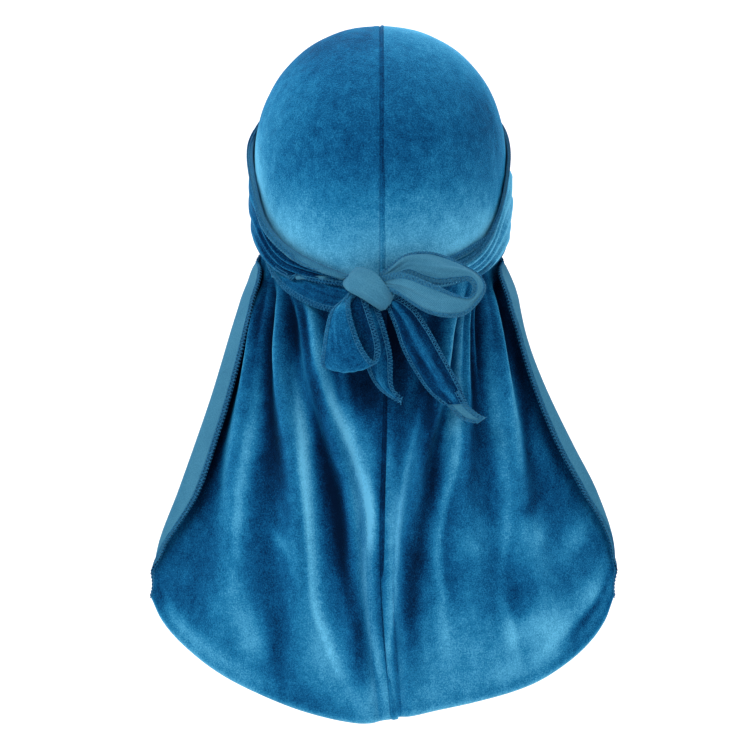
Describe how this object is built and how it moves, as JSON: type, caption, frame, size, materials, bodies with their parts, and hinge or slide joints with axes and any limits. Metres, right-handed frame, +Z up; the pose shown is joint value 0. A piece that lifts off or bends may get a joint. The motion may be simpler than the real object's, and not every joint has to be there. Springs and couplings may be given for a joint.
{
  "type": "durag",
  "caption": "Velvet durag tied at the nape: close two-panel crown with a centre seam, pleated wrap straps with a bow, and a flared cape with turned-out edges down the back.",
  "frame": {"origin": "inner top of the crown, where the cloth rests on the top of the head", "axes": "+Z up; the wearer faces +Y, so the knot and cape are on -Y; +X is the wearer's right"},
  "size_m": [0.2801, 0.2222, 0.4118],
  "materials": {
    "velvet": "stretch velvet, short pile with a bright sheen",
    "backing": "matte knit back of the velvet, fine ribs",
    "thread": "overlock and seam thread, matte"
  },
  "bodies": {
    "root": {"panel_left": "velvet", "panel_right": "velvet", "strap_left": "velvet", "strap_right": "velvet"}
  },
  "joints": []
}
